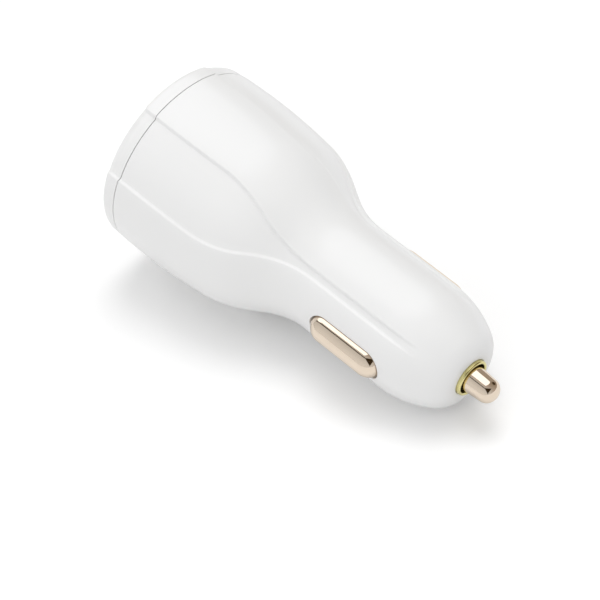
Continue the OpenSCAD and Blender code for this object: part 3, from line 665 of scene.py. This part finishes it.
# %% [markdown]
# ## Finishes
# Plastics and metals share two effects: a faint waviness left by the mould or by polishing, and fine
# handling marks that change the gloss a little. They could be painted into images, but noise needs no file
# and never repeats. The effects are one node group with named sockets, so every material can set its own
# amount.

# %% Shared effect
def reckon(tree, kind, *values):
    """A Math node of a kind in a node tree, on floats or sockets."""
    made = tree.nodes.new("ShaderNodeMath")
    made.operation = kind
    for socket, value in zip(made.inputs, values):
        if isinstance(value, float):
            socket.default_value = value
        else:
            tree.links.new(value, socket)
    return made.outputs[0]


def fill(node, values):
    """Sets sockets of a node by their labels."""
    for label, value in values.items():
        node.inputs[label].default_value = value


def moulded_surface_group():
    """Soft waves and handling marks. Height is low noise; Gloss is a base roughness plus the marks less one
    half, times their amount; Tint is the base colour, moved a little towards a second one by slow noise."""
    group = bpy.data.node_groups.new("moulded_surface", "ShaderNodeTree")
    add, value, colour = group.interface.new_socket, "NodeSocketFloat", "NodeSocketColor"
    add("Place", in_out="INPUT", socket_type="NodeSocketVector")
    for label, kind, default in (
        ("Colour", colour, (0.8, 0.8, 0.8, 1)), ("Second Colour", colour, (0.7, 0.7, 0.7, 1)),
        ("Cloud Scale", value, 60.0), ("Cloud Amount", value, 0.3), ("Roughness", value, 0.2),
        ("Mark Scale", value, 900.0), ("Mark Amount", value, 0.05), ("Wave Scale", value, 250.0),
    ):
        add(label, in_out="INPUT", socket_type=kind).default_value = default
    for label, kind in (("Tint", colour), ("Gloss", value), ("Height", value)):
        add(label, in_out="OUTPUT", socket_type=kind)
    given, made = group.nodes.new("NodeGroupInput"), group.nodes.new("NodeGroupOutput")
    link, node = group.links.new, group.nodes.new

    def noise(scale, detail):
        pattern = node("ShaderNodeTexNoise")
        pattern.inputs["Detail"].default_value = detail
        link(given.outputs["Place"], pattern.inputs["Vector"])
        link(given.outputs[scale], pattern.inputs["Scale"])
        return pattern.outputs["Fac"]

    tint = node("ShaderNodeMix")
    tint.data_type = "RGBA"
    cloud = reckon(group, "MULTIPLY", noise("Cloud Scale", 2), given.outputs["Cloud Amount"])
    link(cloud, tint.inputs["Factor"])
    link(given.outputs["Colour"], tint.inputs["A"])
    link(given.outputs["Second Colour"], tint.inputs["B"])
    marks = reckon(group, "SUBTRACT", noise("Mark Scale", 6), 0.5)
    gloss = reckon(group, "MULTIPLY_ADD", marks, given.outputs["Mark Amount"], given.outputs["Roughness"])
    link(tint.outputs["Result"], made.inputs["Tint"])
    link(gloss, made.inputs["Gloss"])
    link(noise("Wave Scale", 1), made.inputs["Height"])
    return group


moulded_surface = moulded_surface_group()
print("shared effect:", moulded_surface.name)

# %% [markdown]
# A finish is a Principled shader fed by the shared effect. Wiring each by hand would write the same links
# fourteen times, so one function does it. Constant values, such as how metallic it is or how thick its
# clear coat is, go straight on the shader's own sockets.

# %% Finish maker
BUMP_DEPTH, PLASTIC_IOR = 0.0001, 1.46


def finish_of(name, colour, second, rough, metallic=0.0, coat=0.0, coat_rough=0.05, cloud=(60, 0.3),
              marks=(900, 0.05), waves=(250, 0.0)):
    """A material from two colours, a roughness and the shared effect. cloud, marks and waves are each
    (scale, amount); the amount of waves is the bump's strength."""
    material = bpy.data.materials.new(name)
    material.use_nodes = True
    tree = material.node_tree
    shader = tree.nodes["Principled BSDF"]
    place = tree.nodes.new("ShaderNodeTexCoord")
    effect = tree.nodes.new("ShaderNodeGroup")
    effect.node_tree = moulded_surface
    tree.links.new(place.outputs["Object"], effect.inputs["Place"])
    fill(effect, {"Colour": (*colour, 1), "Second Colour": (*second, 1), "Roughness": rough,
                  "Cloud Scale": cloud[0], "Cloud Amount": cloud[1], "Mark Scale": marks[0],
                  "Mark Amount": marks[1], "Wave Scale": waves[0]})
    fill(shader, {"Metallic": metallic, "Coat Weight": coat, "Coat Roughness": coat_rough,
                  "IOR": PLASTIC_IOR})
    tree.links.new(effect.outputs["Tint"], shader.inputs["Base Color"])
    tree.links.new(effect.outputs["Gloss"], shader.inputs["Roughness"])
    if waves[1]:
        bump = tree.nodes.new("ShaderNodeBump")
        fill(bump, {"Strength": waves[1], "Distance": BUMP_DEPTH})
        tree.links.new(effect.outputs["Height"], bump.inputs["Height"])
        tree.links.new(bump.outputs["Normal"], shader.inputs["Normal"])
    print("finish:", name)
    return material


# %% [markdown]
# The outside has three finishes. The plastic is white with a soft shine, so it gets a fairly rough base
# under a thin coat. The contacts are plated with a pale gold and polished, and the ring is plain yellow
# brass, turned but not polished.

# %% Finishes of the outside
pearl = finish_of("pearl_white_plastic", (0.87, 0.87, 0.865), (0.82, 0.82, 0.825), 0.30, coat=0.25,
                  coat_rough=0.14, cloud=(45, 0.4), marks=(700, 0.06), waves=(180, 0.03))
pale_gold = finish_of("pale_gold_plating", (0.88, 0.755, 0.62), (0.80, 0.67, 0.53), 0.08, metallic=1.0,
                      cloud=(260, 0.35), marks=(1500, 0.10), waves=(700, 0.06))
brass = finish_of("yellow_brass", (0.84, 0.77, 0.38), (0.68, 0.60, 0.24), 0.22, metallic=1.0,
                  cloud=(500, 0.5), marks=(2200, 0.15), waves=(900, 0.1))

# %% [markdown]
# The springs and the sockets are of plain sheet and wire: bright steel, tinned steel, rolled brass, and
# strips with a thin flash of gold where a plug touches them. One metal could do for all, but in the mouths
# of the sockets the gold strips are told from the steel round them by their colour.

# %% Finishes of springs and sockets
bright_steel = finish_of("bright_spring_wire", (0.66, 0.66, 0.67), (0.5, 0.5, 0.52), 0.24, metallic=1.0,
                         cloud=(600, 0.4), marks=(2500, 0.15))
tinned_steel = finish_of("tinned_steel_sheet", (0.74, 0.74, 0.75), (0.58, 0.58, 0.60), 0.28, metallic=1.0,
                         cloud=(350, 0.5), marks=(1800, 0.2), waves=(500, 0.08))
strip_brass = finish_of("rolled_brass_strip", (0.78, 0.60, 0.26), (0.62, 0.45, 0.18), 0.3, metallic=1.0,
                        cloud=(400, 0.4), marks=(2000, 0.2))
strip_gold = finish_of("gold_flashed_strip", (0.92, 0.72, 0.34), (0.80, 0.58, 0.24), 0.2, metallic=1.0,
                       cloud=(600, 0.3), marks=(2500, 0.12))

# %% [markdown]
# Inside sit the board and what is soldered to it. They don't show while the plug is closed, but get their
# own finishes all the same, so that an opened view looks right.

# %% Finishes of the board's parts
green_board = finish_of("green_solder_resist", (0.02, 0.16, 0.07), (0.03, 0.24, 0.11), 0.34, coat=0.3,
                        cloud=(800, 0.6), marks=(1600, 0.1), waves=(1400, 0.12))
black_plastic = finish_of("black_moulded_plastic", (0.014, 0.014, 0.016), (0.03, 0.03, 0.034), 0.38,
                          cloud=(300, 0.4), marks=(1500, 0.12), waves=(1200, 0.1))
black_epoxy = finish_of("black_epoxy_body", (0.02, 0.02, 0.022), (0.045, 0.045, 0.05), 0.55,
                        cloud=(900, 0.5), marks=(2500, 0.15), waves=(3000, 0.25))
ferrite = finish_of("grey_ferrite", (0.05, 0.05, 0.055), (0.10, 0.10, 0.11), 0.48,
                    cloud=(900, 0.6), marks=(2500, 0.2), waves=(2600, 0.3))
copper_wire = finish_of("enamelled_copper_wire", (0.62, 0.22, 0.08), (0.45, 0.13, 0.05), 0.25, metallic=1.0,
                        coat=0.6, cloud=(700, 0.4), marks=(1800, 0.1))
drawn_can = finish_of("drawn_aluminium_can", (0.76, 0.77, 0.79), (0.62, 0.63, 0.66), 0.3, metallic=1.0,
                      cloud=(500, 0.3), marks=(2400, 0.15))
pale_ceramic = finish_of("pale_ceramic_body", (0.72, 0.68, 0.56), (0.6, 0.56, 0.46), 0.45,
                         cloud=(1000, 0.5), marks=(2500, 0.1))

# %% [markdown]
# ## Who wears what
# A new skin takes the place of its measured part and rides on the same moving body; the slot in the table
# is not used. The measured part could be reshaped instead, but then it would no longer be measured.

# %% Put the skins on their bodies
for piece, node, body, finish, slot in (
    (shell, "body_shell", "body", pearl, "housing"),
    (cap, "face_cap", "body", pearl, "housing"),
    (ring, "tip_ring", "body", brass, "ring_brass"),
    (pin, "tip_pin", "tip_pin", pale_gold, "contact_gold"),
    (near_contact, "side_contact_left", "side_contact_left", pale_gold, "contact_gold"),
    (far_contact, "side_contact_right", "side_contact_right", pale_gold, "contact_gold"),
):
    piece.data.materials.clear()
    piece.data.materials.append(finish)
    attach(piece, body)
    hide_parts(node)
    print(piece.name, "stands for", node)

# %% [markdown]
# A spring's skin is put on no body, since on one body alone its other end would come loose or run into the
# contact. It gets its finish and keeps its place, and its measured part is hidden. The table also names the
# body that would move each spring, its slot, and the points that would stay and be pushed, but these are not
# used.


leaf_middle = BOARD_SIDE + LEAF_T
for piece, node, moving, finish, slot, still, pushed_end in (
    (coil, "tip_spring", "tip_pin", bright_steel, "spring_steel",
     (SEAT_X + wire, 0), (coil_end - wire, 0)),
    (near_leaf, "leaf_spring_left", "side_contact_left", strip_brass, "strip_brass",
     (CONTACT_X, NEAR * leaf_middle), (CONTACT_X, NEAR * LEAF_TOP)),
    (far_leaf, "leaf_spring_right", "side_contact_right", strip_brass, "strip_brass",
     (CONTACT_X, FAR * leaf_middle), (CONTACT_X, FAR * LEAF_TOP)),
):
    piece.data.materials.append(finish)
    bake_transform(piece)
    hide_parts(node)
    print(piece.name, "bends between body and", moving)

# %% [markdown]
# A part whose own shape is right keeps it and only gets a finish. The parts under the skins get theirs too,
# so that they match if they are ever shown.

# %% Dress the measured parts
def dress(node, finish):
    """Gives every material slot of a measured part one finish."""
    part = frame["nodes"][node]
    if not part.material_slots:
        part.data.materials.append(finish)
    for worn in part.material_slots:
        worn.material = finish


for names, finish in (
    (("body_shell", "face_cap"), pearl),
    (("tip_ring",), brass),
    (("tip_pin", "side_contact_left", "side_contact_right"), pale_gold),
    (("tip_spring",), bright_steel),
    (("leaf_spring_left", "leaf_spring_right", "spring_seat"), strip_brass),
    (("usb_shell_upper", "usb_shell_lower"), tinned_steel),
    (("usb_tongue_upper", "usb_tongue_lower"), black_plastic),
    (("usb_contacts_upper", "usb_contacts_lower"), strip_gold),
    (("circuit_board",), green_board),
    (("inductor_core",), ferrite),
    (("inductor_winding",), copper_wire),
    (("input_capacitor", "output_capacitor"), drawn_can),
    (("control_chip", "port_chip", "rectifier_diode", "chip_resistors"), black_epoxy),
    (("chip_fuse",), pale_ceramic),
):
    for node in names:
        dress(node, finish)
print("dressed", len(frame["nodes"]), "measured parts")

# %% [markdown]
# ## Floor
# The plug lies on white paper. Paper under plain light is a little grey, and more lamps would burn out the
# plug before the paper turned white. So the sheet is whiter for the camera than for the light that bounces
# off it, and more so far away, where the lamp's light grows thin. Mirrors see a share of that white.

# %% White paper
SHEET_HALF, PAPER, MIRROR_SHARE = 1.6, 0.85, 0.25
NEAR_REACH, FAR_REACH, NEAR_WHITE, FAR_WHITE = 0.15, 0.9, 1.07, 1.6
sheet_mesh = bpy.data.meshes.new("paper_floor")
corners = SHEET_HALF * np.array([[-1, -1, 0], [1, -1, 0], [1, 1, 0], [-1, 1, 0]])
sheet_mesh.from_pydata(corners, [], [[0, 1, 2, 3]])
floor = bpy.data.objects.new("paper_floor", sheet_mesh)
bpy.context.scene.collection.objects.link(floor)
paper = bpy.data.materials.new("white_paper")
paper.use_nodes = True
tree = paper.node_tree
tree.nodes.clear()
reach = tree.nodes.new("ShaderNodeVectorMath")
reach.operation = "LENGTH"
tree.links.new(tree.nodes.new("ShaderNodeTexCoord").outputs["Object"], reach.inputs[0])
white = tree.nodes.new("ShaderNodeMapRange")
fill(white, {"From Min": NEAR_REACH, "From Max": FAR_REACH, "To Min": NEAR_WHITE, "To Max": FAR_WHITE})
tree.links.new(reach.outputs["Value"], white.inputs["Value"])
print("the paper is", 2 * SHEET_HALF, "m wide")

# %% Who sees the whiter paper
eyes = tree.nodes.new("ShaderNodeLightPath")
share = reckon(tree, "MULTIPLY_ADD", eyes.outputs["Is Glossy Ray"], MIRROR_SHARE,
               eyes.outputs["Is Camera Ray"])
share.node.use_clamp = True
seen = tree.nodes.new("ShaderNodeMix")
seen.data_type = "RGBA"
seen.inputs["A"].default_value = (PAPER, PAPER, PAPER, 1)
tree.links.new(white.outputs["Result"], seen.inputs["B"])
tree.links.new(share, seen.inputs["Factor"])
sheet = tree.nodes.new("ShaderNodeBsdfDiffuse")
tree.links.new(seen.outputs["Result"], sheet.inputs["Color"])
tree.links.new(sheet.outputs[0], tree.nodes.new("ShaderNodeOutputMaterial").inputs["Surface"])
sheet_mesh.materials.append(paper)
print("mirrors see", MIRROR_SHARE, "of the camera's white")

# %% [markdown]
# ## Lamp
# A large round softbox hangs above and behind the plug, on the head's side. A small lamp would throw a hard
# shadow, and here the shadow is soft. Mirrors see the bright patch in the room in its place, because there
# its size and its edge can be set apart from its light.

# %% Softbox
SOFTBOX_WAY, SOFTBOX_FAR, SOFTBOX_WIDE, SOFTBOX_POWER = (-0.06, 0.24, 0.97), 0.6, 0.42, 1.2
MIDDLE = Vector((0.0, 0.0, 0.015))
softbox_way = Vector(SOFTBOX_WAY).normalized()
light = bpy.data.lights.new("overhead_softbox", "AREA")
light.shape, light.size, light.energy = "DISK", SOFTBOX_WIDE, SOFTBOX_POWER
lamp = bpy.data.objects.new("overhead_softbox", light)
lamp.location = MIDDLE + SOFTBOX_FAR * softbox_way
lamp.rotation_euler = (-softbox_way).to_track_quat("-Z", "Y").to_euler()
lamp.visible_glossy = False
bpy.context.scene.collection.objects.link(lamp)
print("softbox of", SOFTBOX_POWER, "W at", [round(v, 3) for v in lamp.location])

# %% [markdown]
# ## Room
# The rest of the light comes from a bright room, a little brighter on the near side. Polished metal shows
# little but what stands round it, so the room also has things to mirror. A photographed room would bring
# a stranger's windows, so this one is drawn from a few directions: helpers first.

# %% Room helpers
world = bpy.data.worlds.new("bright_room")
bpy.context.scene.world = world
world.use_nodes = True
tree = world.node_tree
room_way = tree.nodes.new("ShaderNodeTexCoord").outputs["Generated"]
rays = tree.nodes.new("ShaderNodeLightPath")


def facing(way):
    """Cosine of the angle between the direction that is looked at and a given direction."""
    dot = tree.nodes.new("ShaderNodeVectorMath")
    dot.operation = "DOT_PRODUCT"
    dot.inputs[1].default_value = Vector(way).normalized()
    tree.links.new(room_way, dot.inputs[0])
    return dot.outputs["Value"]


def number(kind, *values):
    """A Math node of a kind in the room's tree."""
    return reckon(tree, kind, *values)


def patch(below, way, inner, outer, level, only=1.0):
    """The brightness so far, replaced by a level inside a cone round a direction. The edge is soft between
    the inner and the outer half angle, in degrees. only is the share of it for a kind of ray."""
    share = tree.nodes.new("ShaderNodeMapRange")
    share.interpolation_type = "SMOOTHSTEP"
    fill(share, {"From Min": math.cos(math.radians(outer)), "From Max": math.cos(math.radians(inner))})
    tree.links.new(facing(way), share.inputs["Value"])
    blend = tree.nodes.new("ShaderNodeMix")
    tree.links.new(number("MULTIPLY", share.outputs["Result"], only), blend.inputs["Factor"])
    tree.links.new(below, blend.inputs["A"])
    blend.inputs["B"].default_value = level
    return blend.outputs["Result"]


print("the room is", world.name)

# %% [markdown]
# The walls are brighter on the near side. Mirrors see darker walls, which grade along the direction square
# to the dark line below, and two patches: a dim far wall and the softbox.

# %% Walls, far wall and softbox patch
NEAR_SIDE, WALL_SLOPE, WALL_LEVEL = (0.35, -0.9, 0.1), 0.38, 0.87
LINE_SIDE, MIRROR_SLOPE, MIRROR_LEVEL = (0.022, 0.848, 0.530), -0.26, 0.56
FAR_WALL_WAY, FAR_WALL_CONE, FAR_WALL_LEVEL = (-0.45, 0.82, 0.25), (28, 34), 0.38
PATCH_WAY, PATCH_CONE, PATCH_LEVEL = (-0.50, 0.19, 0.84), (34, 36), 1.5
walls = number("MULTIPLY_ADD", facing(NEAR_SIDE), WALL_SLOPE, WALL_LEVEL)
past_line = facing(LINE_SIDE)
mirror_walls = number("MULTIPLY_ADD", past_line, MIRROR_SLOPE, MIRROR_LEVEL)
mirrored = number("MULTIPLY", number("SUBTRACT", mirror_walls, walls), rays.outputs["Is Glossy Ray"])
bright = number("ADD", walls, mirrored)
bright = patch(bright, FAR_WALL_WAY, *FAR_WALL_CONE, FAR_WALL_LEVEL)
bright = patch(bright, PATCH_WAY, *PATCH_CONE, PATCH_LEVEL, rays.outputs["Is Glossy Ray"])
print("the softbox patch is", PATCH_LEVEL, "bright")

# %% [markdown]
# A dark line runs round the room beside the softbox, like the frame of a screen, and widens to a dark
# opening on one side, as where a photographer stands. Together with a second small opening it gives the
# dark line along the metal and the dark spots on its rounded ends.

# %% Dark line and openings
OPENING_SIDE, OPENING_SLOPE, OPENING_LEVEL = (0.833, 0.278, -0.479), 0.47, 0.27
LINE_HALF, LINE_END, DARKEN = 0.05, 0.42, -0.93
SECOND_WAY, SECOND_CONE, SECOND_LEVEL = (0.255, 0.844, 0.478), (12, 16), 0.06
off_line = number("ABSOLUTE", past_line)
past_opening = facing(OPENING_SIDE)
opening = number("MAXIMUM", number("MULTIPLY_ADD", past_opening, OPENING_SLOPE, OPENING_LEVEL), LINE_HALF)
in_line = number("LESS_THAN", off_line, opening)
dark = number("MULTIPLY", in_line, number("LESS_THAN", past_opening, LINE_END))
bright = number("MULTIPLY", bright, number("MULTIPLY_ADD", dark, DARKEN, 1.0))
bright = patch(bright, SECOND_WAY, *SECOND_CONE, SECOND_LEVEL)
print("the dark line is", 2 * round(math.degrees(math.asin(LINE_HALF)), 1), "degrees wide")

# %% [markdown]
# The camera itself sees plain white behind the floor. In mirrors the dim parts of the room are warm, as
# shade is between gold parts. A warmer metal would be simpler, but its bright side would turn yellow too.

# %% Join the room
WARM, WARM_BELOW = (1.0, 0.65, 0.30, 1), 0.60
bright = number("MAXIMUM", bright, rays.outputs["Is Camera Ray"])
plain = number("SUBTRACT", 1.0, rays.outputs["Is Glossy Ray"])
tint = tree.nodes.new("ShaderNodeMix")
tint.data_type = "RGBA"
tint.inputs["A"].default_value, tint.inputs["B"].default_value = WARM, (1, 1, 1, 1)
tree.links.new(number("ADD", number("DIVIDE", bright, WARM_BELOW), plain), tint.inputs["Factor"])
tree.links.new(tint.outputs["Result"], tree.nodes["Background"].inputs["Color"])
tree.links.new(bright, tree.nodes["Background"].inputs["Strength"])
bpy.context.scene.view_settings.view_transform = "Standard"

# %% [markdown]
# ## The camera
# The camera looks down on the tip end from the front right. Its place is given as a direction seen from a
# point on the plug's axis, a distance, and a small offset in the picture plane; it is also rolled a little.
# A constraint could aim it, but it couldn't give the roll and the offset.

# %% Camera
AZIMUTH, ELEVATION, ROLL = math.radians(39.28), math.radians(44.41), math.radians(8.22)
DISTANCE, LENS, SENSOR, PIVOT, OFFSET_X, OFFSET_Y = 450.0, 165.466, 36.0, 40.0, 7.12, 3.44
away = np.array([math.cos(ELEVATION) * math.cos(AZIMUTH), -math.cos(ELEVATION) * math.sin(AZIMUTH),
                 math.sin(ELEVATION)])
level_right = np.cross(-away, [0, 0, 1])
level_right /= np.linalg.norm(level_right)
level_up = np.cross(level_right, -away)
right = math.cos(ROLL) * level_right - math.sin(ROLL) * level_up
upward = math.sin(ROLL) * level_right + math.cos(ROLL) * level_up
pivot = 1000 * lay_down(np.array([PIVOT, 0.0, 0.0]))
stand = np.eye(4)
stand[:3, :3] = np.stack([right, upward, away], axis=1)
stand[:3, 3] = (pivot + DISTANCE * away - OFFSET_X * right - OFFSET_Y * upward) / 1000
lens = bpy.data.cameras.new("picture_camera")
lens.sensor_width, lens.lens, lens.clip_start, lens.clip_end = SENSOR, LENS, 0.01, 20.0
camera = bpy.data.objects.new("picture_camera", lens)
camera.matrix_world = Matrix(stand.tolist())
bpy.context.scene.collection.objects.link(camera)
bpy.context.scene.camera = camera
print("camera at", [round(v, 4) for v in camera.location])

# %% [markdown]
# ## Last step
# The view layer is brought up to date.

# %% Bring the scene up to date
bpy.context.view_layer.update()
